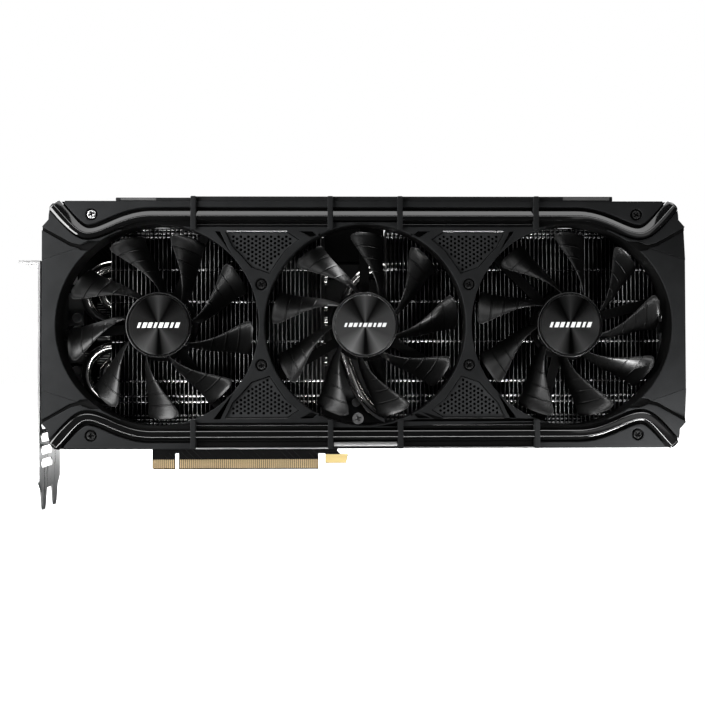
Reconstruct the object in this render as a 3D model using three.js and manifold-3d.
// Triple-fan graphics card, standing on its edge connector with the fans facing -Y.
// Units are millimetres. +X runs away from the bracket, +Y goes through the card to its back plate, +Z is up.
// The origin is on the bottom edge of the long contact section, half-way along it, in the board's mid-plane.
import * as THREE from "three";
import { mergeVertices } from "three/addons/utils/BufferGeometryUtils.js";
import Module from "manifold-3d";

const wasm = await Module();
wasm.setup();

// ---------------------------------------------------------------- driving dimensions
// Circuit board and its edge connector
const BOARD_THICK = 1.6;
const BOARD = { left: -95.4, right: 186, bottom: 12.6, top: 118 };
const CONTACT = { half: 35.83, shortLeft: -49.4, shortRight: -37.73, keyTop: 8.2 };
const HOOK = { left: 39.3, right: 51.1, bottom: 3.0, top: 7.4, neck: 45.6 };

// Cooler body: the middle fan's axis is the centre of the body
const BODY_X = 58.6;
const BODY_Z = 72.1;
const BODY_HALF = { length: 151.3, height: 58.2 };
const FACE_FRONT = -50.8;
const FACE_THICK = 5;
const WALL = 2.2;
const SIDE_WALL_BACK = -30;
const END_WALL_BACK = -6;
const END_WALL_START = 117;

// Fans
const FAN_PITCH = 97.5;
const OPENING_R = 47.5;
const DUCT = { thick: 1.2, back: -34.6 };
const BLADE_COUNT = 9;
const BLADE_TIP_R = 44.4;
const BLADE = { front: -45.6, deep: 8.8, thick: 1.1 };
const BLADE_PHASE = [163.5, 20, 20];
const HUB = { radius: 15.6, front: -46.9, back: -35.5, wall: 2.2, face: 1.2 };
const BADGE = { radius: 14.2, front: -47.2, thick: 1.0 };
const SHAFT = { radius: 1.5, front: -44.8, back: -33.2 };
const SLEEVE = { bore: 1.6, radius: 3.6, front: -41.6, back: -32.6 };
const STATOR = { radius: 12.6, front: -43.2, back: -36.6, poles: 6 };
const FRAME = { radius: 17, front: -34.6, back: -32.4, armWidth: 4.6, armReach: 48.4 };
const FRAME_ARM_ANGLES = [65, 90, 135];
const RUNNING_GAP = 0.1;
const BUILD_GAP = 0.3;
const CIRCLE_SEGMENTS = 48;

// Trim rails: a level run that dips at each end and climbs to the corner
const RAIL = { level: 51.4, width: 5.1, levelEnd: 100, dipX: 129.8, dipZ: 43.15, tipX: 145, tipZ: 56 };
const RAIL_FRONT = -50.9;
const CHANNEL = { half: 3.6, floor: -46.8 };
const RIB_X = [16.4, 80.6];
const RIB = { width: 2.6, front: -51.9, under: -51.2, low: 44.6 };
const TOP_BAR = { half: 117, thick: 2.2, front: -50.4, back: -24 };

// Screws through the shroud
const CORNER_SCREW = { x: 128.2, z: 51.8 };
const CENTRE_SCREW = { x: 48.78, z: 18.96 };
const SCREW = { head: 2.15, headThick: 1.1, shank: 1.3, recess: 2.8, recessDepth: 1.4, boss: 2.9 };

// Fin stacks
const FIN = { pitch: 2.07, thick: 0.4, front: -31.4, back: -12.6, sheet: 0.8, low: 25, high: 120 };
const STACK_LEFT = [-64.2, 38.6];
const STACK_RIGHT = [69.3, 203.6];

// Heat pipes, plates and the processor
const PIPE = { radius: 2.9, depth: -9.3, sides: 8 };
const GPU = { x: 45.6, z: 66, package: 40, die: 26, packageThick: 1.2, dieThick: 0.6 };
const COLD_PLATE = { left: 10.6, right: 80.6, low: 35, high: 97, front: -6.2, back: -2.6 };
const MEMORY_PLATE = { left: -58, right: 170, low: 24, high: 105, front: -4.8, back: -3.0 };

// Bracket and its sockets
const BRACKET = { face: -97.75, thick: 0.9, near: -38.2, far: 0.6, low: -6.5, high: 103.6, flange: 9.3 };
const TONGUE = { pitch: 20.32, far: -8.65, tip: -16.4, width: 10.2, tipWidth: 6 };
const SOCKET = { length: 16.4, height: 6.0, wall: 0.6, depth: 15, zs: [82, 63, 45, 27.5] };
const BRACKET_TABS = [98, 15.7];
const HDMI_LENGTH = 15.0;
const HDMI_INDEX = 2;

// Back plate, spring plate, switch and power sockets
const BACK_PLATE = { left: -92, right: 206, low: 15, high: 121, front: 4.2, back: 5.4 };
const SPRING_PLATE = { half: 31, front: 2.2, back: 3.4, arm: 8 };
const POWER = { left: 96, pitch: 23, width: 19.4, depth: 11.6, low: 106, high: 122, cell: 3.3, cellPitch: 4.2 };
const SWITCH = { x: 20, length: 9, width: 3.6, low: 115, high: 120.4, travel: 2, slider: 1.8 };

const MATTE_BLACK = { color: 0x232325, roughness: 0.55, metalness: 0.1 };
const GLOSS_BLACK = { color: 0x0b0b0d, roughness: 0.12, metalness: 0.2 };
const SPUN_METAL = { color: 0x3a3a3d, roughness: 0.3, metalness: 1 };
const BARE_ALUMINIUM = { color: 0xb8bbc0, roughness: 0.35, metalness: 1 };
const NICKEL = { color: 0xc9c6be, roughness: 0.2, metalness: 1 };
const STEEL = { color: 0xc4c6c9, roughness: 0.3, metalness: 1 };
const DARK_STEEL = { color: 0x2b2b2d, roughness: 0.35, metalness: 0.9 };
const COPPER = { color: 0xb87348, roughness: 0.3, metalness: 1 };
const BOARD_BLACK = { color: 0x141516, roughness: 0.4, metalness: 0 };
const SOCKET_BLACK = { color: 0x101011, roughness: 0.6, metalness: 0 };
const WHITE_PLASTIC = { color: 0xd9d9d6, roughness: 0.5, metalness: 0 };

const group = new THREE.Group();

// ---------------------------------------------------------------- helpers
// A closed geometry as a manifold-3d solid.
function solid(geometry) {
  const bare = geometry.index ? geometry.toNonIndexed() : geometry.clone();
  bare.deleteAttribute("normal");
  bare.deleteAttribute("uv");
  const merged = mergeVertices(bare, 1e-4);
  const triVerts = new Uint32Array(merged.index.array);
  const vertProperties = new Float32Array(merged.attributes.position.array);
  return new wasm.Manifold(new wasm.Mesh({ numProp: 3, vertProperties, triVerts }));
}

// A manifold-3d solid back as a three.js geometry.
function geometryOf(made) {
  const mesh = made.getMesh();
  const points = [];
  for (let i = 0; i < mesh.numVert; i++) {
    points.push(...mesh.vertProperties.subarray(i * mesh.numProp, i * mesh.numProp + 3));
  }
  const geometry = new THREE.BufferGeometry();
  geometry.setAttribute("position", new THREE.Float32BufferAttribute(points, 3));
  geometry.setIndex([...mesh.triVerts]);
  geometry.computeVertexNormals();
  return geometry;
}

function join(pieces) {
  return pieces.slice(1).reduce((whole, piece) => whole.add(piece), pieces[0]);
}

function cut(whole, tools) {
  return tools.reduce((left, tool) => left.subtract(tool), whole);
}

function addNode(name, made, finish) {
  const geometry = made.isBufferGeometry ? made : geometryOf(made);
  const mesh = new THREE.Mesh(geometry, new THREE.MeshStandardMaterial(finish));
  mesh.name = name;
  group.add(mesh);
  return mesh;
}

// A block between two corners.
function block(x0, x1, y0, y1, z0, z1) {
  const geometry = new THREE.BoxGeometry(x1 - x0, y1 - y0, z1 - z0);
  geometry.translate((x0 + x1) / 2, (y0 + y1) / 2, (z0 + z1) / 2);
  return solid(geometry);
}

// A closed outline from [x, z] corners.
function outline(corners) {
  return new THREE.Shape(corners.map(([x, z]) => new THREE.Vector2(x, z)));
}

// A plate whose outline lies in X and Z and whose thickness runs from front to back along Y.
function plateGeometry(shape, front, back, bevel = 0, curveSegments = 12) {
  const geometry = new THREE.ExtrudeGeometry(shape, {
    depth: back - front - bevel,
    bevelEnabled: bevel > 0,
    bevelThickness: bevel,
    bevelSize: bevel,
    bevelOffset: -bevel,
    bevelSegments: 1,
    curveSegments,
  });
  geometry.rotateX(Math.PI / 2);
  geometry.translate(0, back, 0);
  return geometry;
}

function plate(shape, front, back, curveSegments = 12) {
  return solid(plateGeometry(shape, front, back, 0, curveSegments));
}

// A plate whose outline lies in Y and Z, from x0 to x1.
function sidePlate(corners, x0, x1) {
  const geometry = new THREE.ExtrudeGeometry(outline(corners), { depth: x1 - x0, bevelEnabled: false });
  geometry.applyMatrix4(new THREE.Matrix4().makeBasis(
    new THREE.Vector3(0, 1, 0), new THREE.Vector3(0, 0, 1), new THREE.Vector3(1, 0, 0)));
  geometry.translate(x0, 0, 0);
  return solid(geometry);
}

// A turned piece about an axis along Y: the profile is [radius, y] points, closed or ending on the axis.
function turned(profile, x, z, segments = 24) {
  const area = THREE.ShapeUtils.area(profile.map(([r, y]) => new THREE.Vector2(r, y)));
  const points = profile.map(([r, y]) => new THREE.Vector2(r, y));
  if (area < 0) points.reverse();
  const geometry = new THREE.LatheGeometry(points, segments);
  geometry.translate(x, 0, z);
  return solid(geometry);
}

function rod(x, z, radius, front, back, segments = 16) {
  return turned([[0, front], [radius, front], [radius, back], [0, back]], x, z, segments);
}

function ring(x, z, inner, outer, front, back, segments = 48) {
  const profile = [[inner, front], [outer, front], [outer, back], [inner, back], [inner, front]];
  return turned(profile, x, z, segments);
}

function fanX(index) {
  return BODY_X + (index - 1) * FAN_PITCH;
}

// The four mirror images of a point about the body's centre, named by their corner.
function fourCorners({ x, z }) {
  return [["upper_left", -x, z], ["upper_right", x, z], ["lower_left", -x, -z], ["lower_right", x, -z]]
    .map(([name, dx, dz]) => ({ name, x: BODY_X + dx, z: BODY_Z + dz }));
}

// An outline given from the body's centre, mirrored by sx and sz.
function bodyOutline(corners, sx = 1, sz = 1) {
  const points = corners.map(([x, z]) => [BODY_X + sx * x, BODY_Z + sz * z]);
  if (sx * sz < 0) points.reverse();
  return outline(points);
}

// ---------------------------------------------------------------- trim rails
// The centre line of the upper rail from the body's centre to its right-hand tip.
function railHalfPath() {
  const path = new THREE.Path();
  path.moveTo(0, RAIL.level);
  path.lineTo(RAIL.levelEnd, RAIL.level);
  path.bezierCurveTo(RAIL.levelEnd + 14, RAIL.level, RAIL.dipX - 7.3, RAIL.dipZ, RAIL.dipX, RAIL.dipZ);
  path.bezierCurveTo(RAIL.dipX + 4.2, RAIL.dipZ, RAIL.dipX + 7.7, RAIL.dipZ + 3.9, RAIL.tipX, RAIL.tipZ);
  return path;
}

// A band of one width along the rail's whole centre line.
function railBand(half, sz, steps = 9) {
  const right = railHalfPath().getPoints(steps);
  const whole = [...right.slice(1).reverse().map((p) => new THREE.Vector2(-p.x, p.y)), ...right.slice(1)];
  const side = (sign) => whole.map((point, i) => {
    const before = whole[Math.max(i - 1, 0)];
    const after = whole[Math.min(i + 1, whole.length - 1)];
    const along = after.clone().sub(before).normalize();
    return [point.x - sign * along.y * half, point.y + sign * along.x * half];
  });
  return bodyOutline([...side(-1), ...side(1).reverse()], 1, sz);
}

function makeRails() {
  for (const [name, sz] of [["upper_trim_rail", 1], ["lower_trim_rail", -1]]) {
    const bevel = 1.3;
    const geometry = plateGeometry(railBand(RAIL.width / 2, sz), RAIL_FRONT, CHANNEL.floor + bevel, bevel);
    const keep = block(-200, 300, RAIL_FRONT - 1, CHANNEL.floor - BUILD_GAP, -50, 200);
    addNode(name, solid(geometry).intersect(keep), GLOSS_BLACK);
  }
}

// ---------------------------------------------------------------- shroud
// Corner points of one quarter of the body's outline, from the top middle to the right middle.
const QUARTER = [[144, 58.2], [147.3, 55.2], [147.6, 49.3], [151.3, 45.8]];

function bodyCorners(inset) {
  const quarter = QUARTER.map(([x, z]) => [x - inset, z - inset]);
  const mirrored = (sx, sz) => quarter.map(([x, z]) => [sx * x, sz * z]);
  return [...mirrored(1, 1).reverse(), ...mirrored(-1, 1), ...mirrored(-1, -1).reverse(), ...mirrored(1, -1)];
}

// Windows for the honeycomb grilles, between the left and middle fans, from the body's centre.
const GRILLE_OUTLINE = [
  [-65.6, 43.5], [-62.3, 36.6], [-58.2, 32.4], [-53.6, 27.0], [-45.0, 24.0],
  [-40.9, 30.1], [-37.4, 35.0], [-31.2, 40.1], [-36.4, 43.5],
];
const SLIT_OUTER = [[-70.3, 43.8], [-68.2, 43.8], [-64.2, 35.6]];
const SLIT_INNER = [[-30.4, 43.9], [-24.8, 43.9], [-22.6, 42.0], [-25.6, 41.2]];
const GROOVE = [
  [-151.3, 46.2], [-137.8, 38.4], [-133.6, 37.3], [-129.2, 39.0],
  [-129.2, 37.8], [-133.6, 36.1], [-138.2, 37.2], [-151.3, 44.8],
];

function shrunk(corners, amount) {
  const mid = corners.reduce(([ax, az], [x, z]) => [ax + x / corners.length, az + z / corners.length], [0, 0]);
  return corners.map(([x, z]) => {
    const reach = Math.hypot(x - mid[0], z - mid[1]);
    return [x - ((x - mid[0]) * amount) / reach, z - ((z - mid[1]) * amount) / reach];
  });
}

function fourWays(make) {
  return [[1, 1], [-1, 1], [1, -1], [-1, -1]].map(([sx, sz]) => make(sx, sz));
}

function shroudFace() {
  const back = FACE_FRONT + FACE_THICK;
  const face = solid(plateGeometry(bodyOutline(bodyCorners(0)), FACE_FRONT, back, 1));
  const channels = [1, -1].map((sz) => plate(railBand(CHANNEL.half, sz), FACE_FRONT - 5, CHANNEL.floor));
  const ledge = FACE_FRONT + 2.2;
  const windows = [
    ...fourWays((sx, sz) => plate(bodyOutline(GRILLE_OUTLINE, sx, sz), FACE_FRONT - 5, ledge)),
    ...fourWays((sx, sz) => plate(bodyOutline(shrunk(GRILLE_OUTLINE, 1.4), sx, sz), ledge - 1, 0)),
  ];
  const slitFloor = FACE_FRONT + 3;
  const slits = [SLIT_OUTER, SLIT_INNER].flatMap((corners) => fourWays((sx, sz) =>
    plate(bodyOutline(corners, sx, sz), FACE_FRONT - 5, slitFloor)));
  const grooves = fourWays((sx, sz) => plate(bodyOutline(GROOVE, sx, sz), FACE_FRONT - 5, FACE_FRONT + 1.2));
  return { face, cuts: [...channels, ...windows, ...slits, ...grooves] };
}

function shroudWalls() {
  const outer = plate(bodyOutline(bodyCorners(0)), FACE_FRONT + 2, END_WALL_BACK);
  const inner = plate(bodyOutline(bodyCorners(WALL)), FACE_FRONT + 3, 0);
  const shortened = block(BODY_X - END_WALL_START, BODY_X + END_WALL_START, SIDE_WALL_BACK, 0, 0, 200);
  const leftX = BODY_X - BODY_HALF.length;
  const rightX = BODY_X + BODY_HALF.length;
  const boardSlot = block(leftX - 1, leftX + 60, -14, 0, 0, 200);
  const vents = [-30, -10, 10, 30].map((z) =>
    block(rightX - 5, rightX + 1, -36, -14, BODY_Z + z - 7, BODY_Z + z + 7));
  return cut(outer, [inner, shortened, boardSlot, ...vents]);
}

function makeShroud() {
  const { face, cuts } = shroudFace();
  const faceBack = FACE_FRONT + FACE_THICK;
  const ducts = [0, 1, 2].map((i) =>
    rod(fanX(i), BODY_Z, OPENING_R + DUCT.thick, faceBack - 1, DUCT.back, CIRCLE_SEGMENTS));
  const screws = [...fourCorners(CORNER_SCREW), ...fourCorners(CENTRE_SCREW)];
  const bossBack = (z) => (Math.abs(z - BODY_Z) > 40 ? -38 : FIN.front - RUNNING_GAP);
  const bosses = screws.map(({ x, z }) => rod(x, z, SCREW.boss, faceBack - 1, bossBack(z), 8));
  const ribs = RIB_X.flatMap((dx) => [dx, -dx]).flatMap((dx) => [1, -1].flatMap((sz) => {
    const x = BODY_X + dx;
    const bar = (front, back, low, high) => {
      const zs = [BODY_Z + sz * low, BODY_Z + sz * high];
      return block(x - RIB.width / 2, x + RIB.width / 2, front, back, Math.min(...zs), Math.max(...zs));
    };
    const channelLow = RAIL.level - CHANNEL.half;
    const channelHigh = RAIL.level + CHANNEL.half;
    return [
      bar(RIB.front, RIB.under, RIB.low, BODY_HALF.height),
      bar(RIB.front, FACE_FRONT + 1, RIB.low, channelLow),
      bar(RIB.front, FACE_FRONT + 1, channelHigh, BODY_HALF.height),
    ];
  }));
  const recesses = screws.flatMap(({ x, z }) => [
    rod(x, z, SCREW.recess, FACE_FRONT - 2, FACE_FRONT + SCREW.recessDepth, 12),
    rod(x, z, SCREW.shank + BUILD_GAP, FACE_FRONT - 2, 0, 8),
  ]);
  const shell = cut(join([face, shroudWalls(), ...ducts]), cuts);
  const whole = cut(join([shell, ...bosses, ...ribs]), recesses);
  const openings = [0, 1, 2].map((i) => rod(fanX(i), BODY_Z, OPENING_R, FACE_FRONT - 5, 0, CIRCLE_SEGMENTS));
  addNode("fan_shroud", cut(whole, openings), MATTE_BLACK);
}

function makeShroudScrews() {
  const seat = FACE_FRONT + SCREW.recessDepth;
  const makeScrew = (label, { name, x, z }, tip) => {
    const profile = [
      [0, seat - SCREW.headThick], [SCREW.head - 0.4, seat - SCREW.headThick], [SCREW.head, seat - 0.6],
      [SCREW.head, seat], [SCREW.shank, seat], [SCREW.shank, tip], [0, tip],
    ];
    addNode(label + "_screw_" + name, turned(profile, x, z, 12), DARK_STEEL);
  };
  fourCorners(CORNER_SCREW).forEach((place) => makeScrew("corner", place, -39));
  fourCorners(CENTRE_SCREW).forEach((place) => makeScrew("centre", place, -33));
}

function makeGrilles() {
  const ledge = FACE_FRONT + 2.2;
  const names = ["upper_left", "upper_right", "lower_left", "lower_right"];
  const shape = shrunk(GRILLE_OUTLINE, BUILD_GAP + 0.1);
  fourWays((sx, sz) => plate(bodyOutline(shape, sx, sz), ledge - 1.2, ledge))
    .forEach((made, i) => addNode("grille_" + names[i], made, GLOSS_BLACK));
}

function makeTopBar() {
  const low = BODY_Z + BODY_HALF.height;
  const bar = block(BODY_X - TOP_BAR.half, BODY_X + TOP_BAR.half, TOP_BAR.front, TOP_BAR.back,
    low, low + TOP_BAR.thick);
  addNode("top_cover_bar", bar, MATTE_BLACK);
}

// ---------------------------------------------------------------- fans
// One swept blade at angle zero: its leading edge is nearer the front and ahead in the turning direction.
function bladeGeometry() {
  const radii = [HUB.radius - 1, 22, 29, 37, BLADE_TIP_R];
  const shares = [0, 0.35, 1];
  const sweep = (r) => -33 * Math.pow((BLADE_TIP_R - r) / (BLADE_TIP_R - 16.5), 1.6);
  const chord = (r) => 16.5 * Math.pow(THREE.MathUtils.clamp((r - 9) / (BLADE_TIP_R - 9), 0, 1), 0.75);
  const rows = [];
  for (const r of radii) {
    for (const side of [0, 1]) {
      for (const share of side ? [...shares].reverse() : shares) {
        const angle = THREE.MathUtils.degToRad(sweep(r) - chord(r) * share);
        const camber = 1 - Math.pow(1 - share, 1.4);
        const y = BLADE.front + BLADE.deep * camber + side * BLADE.thick;
        rows.push(r * Math.cos(angle), y, r * Math.sin(angle));
      }
    }
  }
  const around = shares.length * 2;
  const index = [];
  for (let i = 0; i < radii.length - 1; i++) {
    for (let j = 0; j < around; j++) {
      const a = i * around + j;
      const b = i * around + ((j + 1) % around);
      index.push(a, b, a + around, b, b + around, a + around);
    }
  }
  const last = (radii.length - 1) * around;
  for (let j = 1; j < around - 1; j++) {
    index.push(0, j + 1, j);
    index.push(last, last + j, last + j + 1);
  }
  const geometry = new THREE.BufferGeometry();
  geometry.setAttribute("position", new THREE.Float32BufferAttribute(rows, 3));
  geometry.setIndex(index);
  return geometry;
}

function blade(angle) {
  const geometry = bladeGeometry();
  geometry.rotateY(-THREE.MathUtils.degToRad(angle));
  const made = solid(geometry);
  return made.volume() > 0 ? made : solid(flipped(geometry));
}

function flipped(geometry) {
  const index = geometry.index.array;
  for (let i = 0; i < index.length; i += 3) [index[i], index[i + 1]] = [index[i + 1], index[i]];
  return geometry;
}

function impeller(x, phase) {
  const floor = HUB.front + 0.7 + HUB.face;
  const inner = HUB.radius - HUB.wall;
  const bore = SHAFT.radius + RUNNING_GAP;
  const cup = turned([
    [0, HUB.front + 0.7], [BADGE.radius + 0.2, HUB.front + 0.7], [BADGE.radius + 0.2, HUB.front],
    [HUB.radius - 0.4, HUB.front], [HUB.radius, HUB.front + 0.4], [HUB.radius, HUB.back],
    [inner, HUB.back], [inner, floor], [3.4, floor], [3.4, -42.2], [bore, -42.2], [bore, SHAFT.front - RUNNING_GAP],
    [0, SHAFT.front - RUNNING_GAP],
  ], 0, 0, 36);
  const blades = [];
  for (let k = 0; k < BLADE_COUNT; k++) blades.push(blade((k * 360) / BLADE_COUNT));
  const geometry = geometryOf(join([cup, ...blades]));
  geometry.rotateY(-THREE.MathUtils.degToRad(phase));
  geometry.translate(x, 0, BODY_Z);
  return solid(geometry);
}

function stator(x) {
  const pieces = [ring(x, BODY_Z, SLEEVE.radius + 0.15, 6.2, STATOR.front, STATOR.back, 12)];
  for (let k = 0; k < STATOR.poles; k++) {
    const arm = new THREE.BoxGeometry(6, STATOR.back - STATOR.front - 2, 2.6);
    arm.translate(8.4, (STATOR.front + STATOR.back) / 2, 0);
    const shoe = new THREE.BoxGeometry(1.6, STATOR.back - STATOR.front - 2, 9);
    shoe.translate(STATOR.radius - 1.8, (STATOR.front + STATOR.back) / 2, 0);
    for (const piece of [arm, shoe]) {
      piece.rotateY((k * 2 * Math.PI) / STATOR.poles);
      piece.translate(x, 0, BODY_Z);
      pieces.push(solid(piece));
    }
  }
  return join(pieces);
}

function fanFrame(x, firstArm) {
  const pieces = [ring(x, BODY_Z, SLEEVE.radius + RUNNING_GAP, FRAME.radius, FRAME.front, FRAME.back, 24)];
  for (let k = 0; k < 3; k++) {
    const arm = new THREE.BoxGeometry(FRAME.armReach - FRAME.radius + 2, FRAME.back - FRAME.front, FRAME.armWidth);
    arm.translate((FRAME.armReach + FRAME.radius - 2) / 2, (FRAME.front + FRAME.back) / 2, 0);
    arm.rotateY(-THREE.MathUtils.degToRad(firstArm + k * 120));
    arm.translate(x, 0, BODY_Z);
    pieces.push(solid(arm));
  }
  return join(pieces);
}

function makeFans() {
  ["left", "middle", "right"].forEach((name, i) => {
    const x = fanX(i);
    addNode("impeller_" + name, impeller(x, BLADE_PHASE[i]), GLOSS_BLACK);
    addNode("hub_badge_" + name, rod(x, BODY_Z, BADGE.radius, BADGE.front, BADGE.front + BADGE.thick, 24), SPUN_METAL);
    addNode("fan_shaft_" + name, rod(x, BODY_Z, SHAFT.radius, SHAFT.front, SHAFT.back, 12), STEEL);
    addNode("bearing_sleeve_" + name,
      ring(x, BODY_Z, SLEEVE.bore, SLEEVE.radius, SLEEVE.front, SLEEVE.back, 12), COPPER);
    addNode("stator_" + name, stator(x), COPPER);
    addNode("fan_frame_" + name, fanFrame(x, FRAME_ARM_ANGLES[i]), MATTE_BLACK);
  });
}

// ---------------------------------------------------------------- cooler
// A comb of upright fins on a base sheet that joins their back edges.
function finStack([left, right]) {
  const count = Math.floor((right - left - FIN.thick) / FIN.pitch);
  const sheetFront = FIN.back - FIN.sheet;
  const profile = [[left, FIN.back], [left, FIN.front]];
  for (let i = 0; i <= count; i++) {
    const x = left + i * FIN.pitch;
    if (i > 0) profile.push([x, sheetFront], [x, FIN.front]);
    profile.push([x + FIN.thick, FIN.front]);
    profile.push([x + FIN.thick, i < count ? sheetFront : FIN.back]);
  }
  const geometry = new THREE.ExtrudeGeometry(outline(profile), { depth: FIN.high - FIN.low, bevelEnabled: false });
  geometry.translate(0, 0, FIN.low);
  return solid(geometry);
}

// Heat pipe centre lines, as [x, z] from the body's centre.
const PIPE_HAIRPINS = [
  { high: 31.5, low: 3.5, bend: -126 },
  { high: 24, low: 11, bend: -124.5 },
  { high: -9.5, low: -37, bend: -126 },
  { high: -17, low: -29.5, bend: -124.5 },
];
const HAIRPIN_END = -18;
const PIPE_SWEEPS = [
  [[-12, -3], [-8.5, -17], [0, -36], [14, -46], [40, -46], [140, -46]],
  [[-3, 0], [-0.5, -12], [7, -29], [19, -37.5], [42, -38], [140, -38]],
  [[-10, 5], [-7.5, 17], [0, 27], [13, 30.4], [40, 30.4], [140, 30.4]],
];

function hairpinPath({ high, low, bend }) {
  const radius = (high - low) / 2;
  const middle = (high + low) / 2;
  const at = (x, z) => new THREE.Vector3(BODY_X + x, PIPE.depth, BODY_Z + z);
  const path = new THREE.CurvePath();
  path.add(new THREE.LineCurve3(at(HAIRPIN_END, high), at(bend, high)));
  const steps = 8;
  let last = at(bend, high);
  for (let i = 1; i <= steps; i++) {
    const turn = Math.PI / 2 + (Math.PI * i) / steps;
    const next = at(bend + radius * Math.cos(turn), middle + radius * Math.sin(turn));
    path.add(new THREE.LineCurve3(last, next));
    last = next;
  }
  path.add(new THREE.LineCurve3(last, at(HAIRPIN_END, low)));
  return path;
}

// A round tube along points, with mitred joints between straight pieces.
function tube(points) {
  const rows = [];
  const index = [];
  const up = new THREE.Vector3(0, 1, 0);
  points.forEach((point, i) => {
    const before = i > 0 ? point.clone().sub(points[i - 1]).normalize() : null;
    const after = i < points.length - 1 ? points[i + 1].clone().sub(point).normalize() : null;
    const along = new THREE.Vector3().add(before ?? after).add(after ?? before).normalize();
    const across = new THREE.Vector3().crossVectors(along, up).normalize();
    const stretch = before && after ? 1 / Math.max(0.7, along.dot(after)) : 1;
    for (let s = 0; s < PIPE.sides; s++) {
      const turn = (2 * Math.PI * (s + 0.5)) / PIPE.sides;
      const corner = point.clone()
        .addScaledVector(across, PIPE.radius * Math.cos(turn) * stretch)
        .addScaledVector(up, PIPE.radius * Math.sin(turn));
      rows.push(corner.x, corner.y, corner.z);
    }
  });
  for (let i = 0; i < points.length - 1; i++) {
    for (let s = 0; s < PIPE.sides; s++) {
      const a = i * PIPE.sides + s;
      const b = i * PIPE.sides + ((s + 1) % PIPE.sides);
      index.push(a, a + PIPE.sides, b, b, a + PIPE.sides, b + PIPE.sides);
    }
  }
  const last = (points.length - 1) * PIPE.sides;
  for (let s = 1; s < PIPE.sides - 1; s++) {
    index.push(0, s, s + 1);
    index.push(last, last + s + 1, last + s);
  }
  const geometry = new THREE.BufferGeometry();
  geometry.setAttribute("position", new THREE.Float32BufferAttribute(rows, 3));
  geometry.setIndex(index);
  const made = solid(geometry);
  return made.volume() > 0 ? made : solid(flipped(geometry));
}

function makePipes() {
  const hairpins = PIPE_HAIRPINS.map((pin) => {
    const curves = hairpinPath(pin).curves;
    return [curves[0].v1, ...curves.map((line) => line.v2)];
  });
  const sweeps = PIPE_SWEEPS.map((way) => {
    const bend = new THREE.CatmullRomCurve3(
      way.slice(0, -1).map(([x, z]) => new THREE.Vector3(BODY_X + x, PIPE.depth, BODY_Z + z)));
    const [endX, endZ] = way.at(-1);
    return [...bend.getPoints(14), new THREE.Vector3(BODY_X + endX, PIPE.depth, BODY_Z + endZ)];
  });
  [...hairpins, ...sweeps].forEach((points, i) => addNode("heat_pipe_" + (i + 1), tube(points), NICKEL));
}

function makeCooler() {
  addNode("fin_stack_left", finStack(STACK_LEFT), BARE_ALUMINIUM);
  addNode("fin_stack_right", finStack(STACK_RIGHT), BARE_ALUMINIUM);
  makePipes();
  const cold = COLD_PLATE;
  addNode("cold_plate", block(cold.left, cold.right, cold.front, cold.back, cold.low, cold.high), NICKEL);
  const m = MEMORY_PLATE;
  const sheet = block(m.left, m.right, m.front, m.back, m.low, m.high);
  const window = block(cold.left - 1, cold.right + 1, m.front - 1, m.back + 1, cold.low - 1, cold.high + 1);
  addNode("memory_plate", sheet.subtract(window), DARK_STEEL);
}

// ---------------------------------------------------------------- circuit board
function makeBoard() {
  const c = CONTACT;
  const h = HOOK;
  const corners = [
    [c.shortLeft, 0.8], [c.shortLeft + 0.8, 0], [c.shortRight, 0], [c.shortRight, c.keyTop],
    [-c.half, c.keyTop], [-c.half, 0], [c.half, 0], [c.half, h.top + 0.6], [h.left, h.top + 0.6],
    [h.left, h.bottom], [h.right - 1, h.bottom], [h.right, h.top], [h.neck + 1.9, h.top], [h.neck, h.top + 1.8],
    [h.neck, BOARD.bottom], [BOARD.right, BOARD.bottom], [BOARD.right, BOARD.top],
    [BOARD.left, BOARD.top], [BOARD.left, BOARD.bottom], [c.shortLeft, BOARD.bottom],
  ];
  addNode("circuit_board", plate(outline(corners), -BOARD_THICK / 2, BOARD_THICK / 2), BOARD_BLACK);
  const face = -BOARD_THICK / 2;
  const square = (size, front, back) =>
    block(GPU.x - size / 2, GPU.x + size / 2, front, back, GPU.z - size / 2, GPU.z + size / 2);
  const lid = face - GPU.packageThick;
  const chip = join([square(GPU.package, lid, face), square(GPU.die, lid - GPU.dieThick, lid + 0.2)]);
  addNode("gpu_package", chip, BOARD_BLACK);
}

// ---------------------------------------------------------------- bracket and sockets
function socketBox(z, length, grow) {
  const back = -BOARD_THICK / 2 + grow;
  const front = -BOARD_THICK / 2 - SOCKET.height - grow;
  return [front, back, z - length / 2 - grow, z + length / 2 + grow];
}

function socketLength(i) {
  return i === HDMI_INDEX ? HDMI_LENGTH : SOCKET.length;
}

function ventCut(y0, y1, z) {
  const half = 2.1;
  return sidePlate([
    [y0, z], [y0 + half, z - half], [y1 - half, z - half], [y1, z], [y1 - half, z + half], [y0 + half, z + half],
  ], BRACKET.face - 1, BRACKET.face + BRACKET.thick + 1);
}

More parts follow.
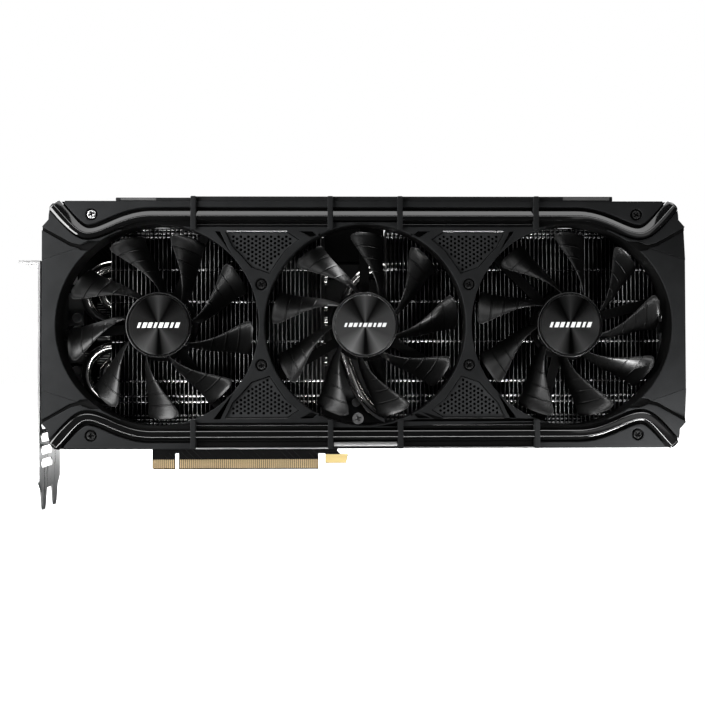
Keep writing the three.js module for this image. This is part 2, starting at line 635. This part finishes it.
function makeBracket() {
  const b = BRACKET;
  const inner = b.face + b.thick;
  const tongue = (y) => [
    [y - TONGUE.width / 2, b.low], [y - TONGUE.tipWidth / 2, TONGUE.tip + 2],
    [y - TONGUE.tipWidth / 2 + 1, TONGUE.tip], [y + TONGUE.tipWidth / 2 - 1, TONGUE.tip],
    [y + TONGUE.tipWidth / 2, TONGUE.tip + 2], [y + TONGUE.width / 2, b.low],
  ];
  const corners = [
    [b.near, b.high], [b.near, b.low + 4], ...tongue(TONGUE.far - TONGUE.pitch), ...tongue(TONGUE.far),
    [b.far, b.low + 4], [b.far, b.high],
  ];
  const panel = sidePlate(corners, b.face, inner);
  const flange = block(b.face - b.flange, inner, b.near, b.far, b.high - 1, b.high);
  const slots = [TONGUE.far, TONGUE.far - TONGUE.pitch].map((y) =>
    block(b.face - b.flange - 1, b.face - b.flange + 5.6, y - 2.25, y + 2.25, b.high - 5, b.high + 5));
  const sockets = SOCKET.zs.map((z, i) => {
    const [front, back, low, high] = socketBox(z, socketLength(i), BUILD_GAP);
    return block(b.face - 1, inner + 1, front, back, low, high);
  });
  const vents = [];
  for (let z = 6; z < 98; z += 6.2) vents.push(ventCut(b.near + 3.5, -13, z));
  const face = -BOARD_THICK / 2;
  const tabs = BRACKET_TABS.map((z) => block(inner - 0.4, inner + 9, face - 1, face, z - 2.9, z + 2.9));
  addNode("io_bracket", cut(join([panel, flange, ...tabs]), [...slots, ...sockets, ...vents]), STEEL);
  BRACKET_TABS.forEach((z, i) => {
    addNode("bracket_screw_" + (i + 1), rod(inner + 5.5, z, 2.2, face - 2.5, face - 1, 12), STEEL);
  });
}

function makeSockets() {
  const names = ["display_socket_1", "display_socket_2", "hdmi_socket", "display_socket_3"];
  const mouth = BRACKET.face - 0.2;
  SOCKET.zs.forEach((z, i) => {
    const [front, back, low, high] = socketBox(z, socketLength(i), 0);
    const shell = block(mouth, mouth + SOCKET.depth, front, back, low, high);
    const w = SOCKET.wall;
    const hollow = block(mouth - 1, mouth + SOCKET.depth - 1, front + w, back - w, low + w, high - w);
    addNode(names[i], shell.subtract(hollow), STEEL);
  });
}

// ---------------------------------------------------------------- back plate and small parts
function makeBackPlate() {
  const p = BACK_PLATE;
  const sheet = block(p.left, p.right, p.front, p.back, p.low, p.high);
  const s = SPRING_PLATE.half + 3;
  const window = block(GPU.x - s, GPU.x + s, p.front - 1, p.back + 1, GPU.z - s, GPU.z + s);
  const slots = [];
  for (let i = 0; i < 6; i++) {
    const x = BOARD.right - 62 + i * 12;
    slots.push(block(x, x + 7, p.front - 1, p.back + 1, p.low + 20, p.high - 20));
  }
  const posts = [[-80, 20], [-80, 110], [178, 20], [178, 110], [110, 20], [110, 110]].map(([x, z]) =>
    rod(x, z, 2.6, BOARD_THICK / 2, p.front + 0.4, 8));
  addNode("back_plate", join([cut(sheet, [window, ...slots]), ...posts]), MATTE_BLACK);
}

function makeSpringPlate() {
  const s = SPRING_PLATE;
  const pieces = [45, 135].map((angle) => {
    const arm = new THREE.BoxGeometry(2 * s.half * 1.3, s.back - s.front, s.arm);
    arm.rotateY(THREE.MathUtils.degToRad(angle));
    arm.translate(GPU.x, (s.front + s.back) / 2, GPU.z);
    return solid(arm);
  });
  const posts = fourWays((sx, sz) =>
    rod(GPU.x + sx * s.half * 0.85, GPU.z + sz * s.half * 0.85, 2.2, BOARD_THICK / 2, s.front + 0.4, 12));
  const hub = ring(GPU.x, GPU.z, 9, 15, s.front, s.back, 24);
  addNode("spring_plate", join([...pieces, hub, ...posts]), STEEL);
}

function makePowerSockets() {
  const back = -BOARD_THICK / 2;
  ["left", "right"].forEach((name, i) => {
    const x0 = POWER.left + i * POWER.pitch;
    const body = block(x0, x0 + POWER.width, back - POWER.depth, back, POWER.low, POWER.high);
    const cells = [];
    for (let column = 0; column < 4; column++) {
      for (let row = 0; row < 2; row++) {
        const x = x0 + 1.9 + column * POWER.cellPitch;
        const y = back - 1.8 - POWER.cell - row * (POWER.cellPitch + 0.6);
        cells.push(block(x, x + POWER.cell, y, y + POWER.cell, POWER.low + 3, POWER.high + 1));
      }
    }
    addNode("power_socket_" + name, cut(body, cells), SOCKET_BLACK);
  });
}

function makeSwitch() {
  const back = -BOARD_THICK / 2;
  const s = SWITCH;
  const body = block(s.x - s.length / 2, s.x + s.length / 2, back - s.width, back, s.low, s.high - 1.4);
  const slotHalf = (s.slider + s.travel) / 2 + BUILD_GAP;
  const slot = block(s.x - slotHalf, s.x + slotHalf, back - s.width + 1, back - 1, s.high - 3.3, s.high);
  addNode("bios_switch_body", body.subtract(slot), SOCKET_BLACK);
  const middle = back - s.width / 2;
  const start = s.x - (s.slider + s.travel) / 2;
  const slider = block(start, start + s.slider, middle - 0.6, middle + 0.6, s.high - 3, s.high);
  addNode("bios_switch_slider", slider, WHITE_PLASTIC);
}

makeBoard();
makeCooler();
makeShroud();
makeRails();
makeTopBar();
makeGrilles();
makeShroudScrews();
makeFans();
makeBracket();
makeSockets();
makeBackPlate();
makeSpringPlate();
makePowerSockets();
makeSwitch();

export default group;
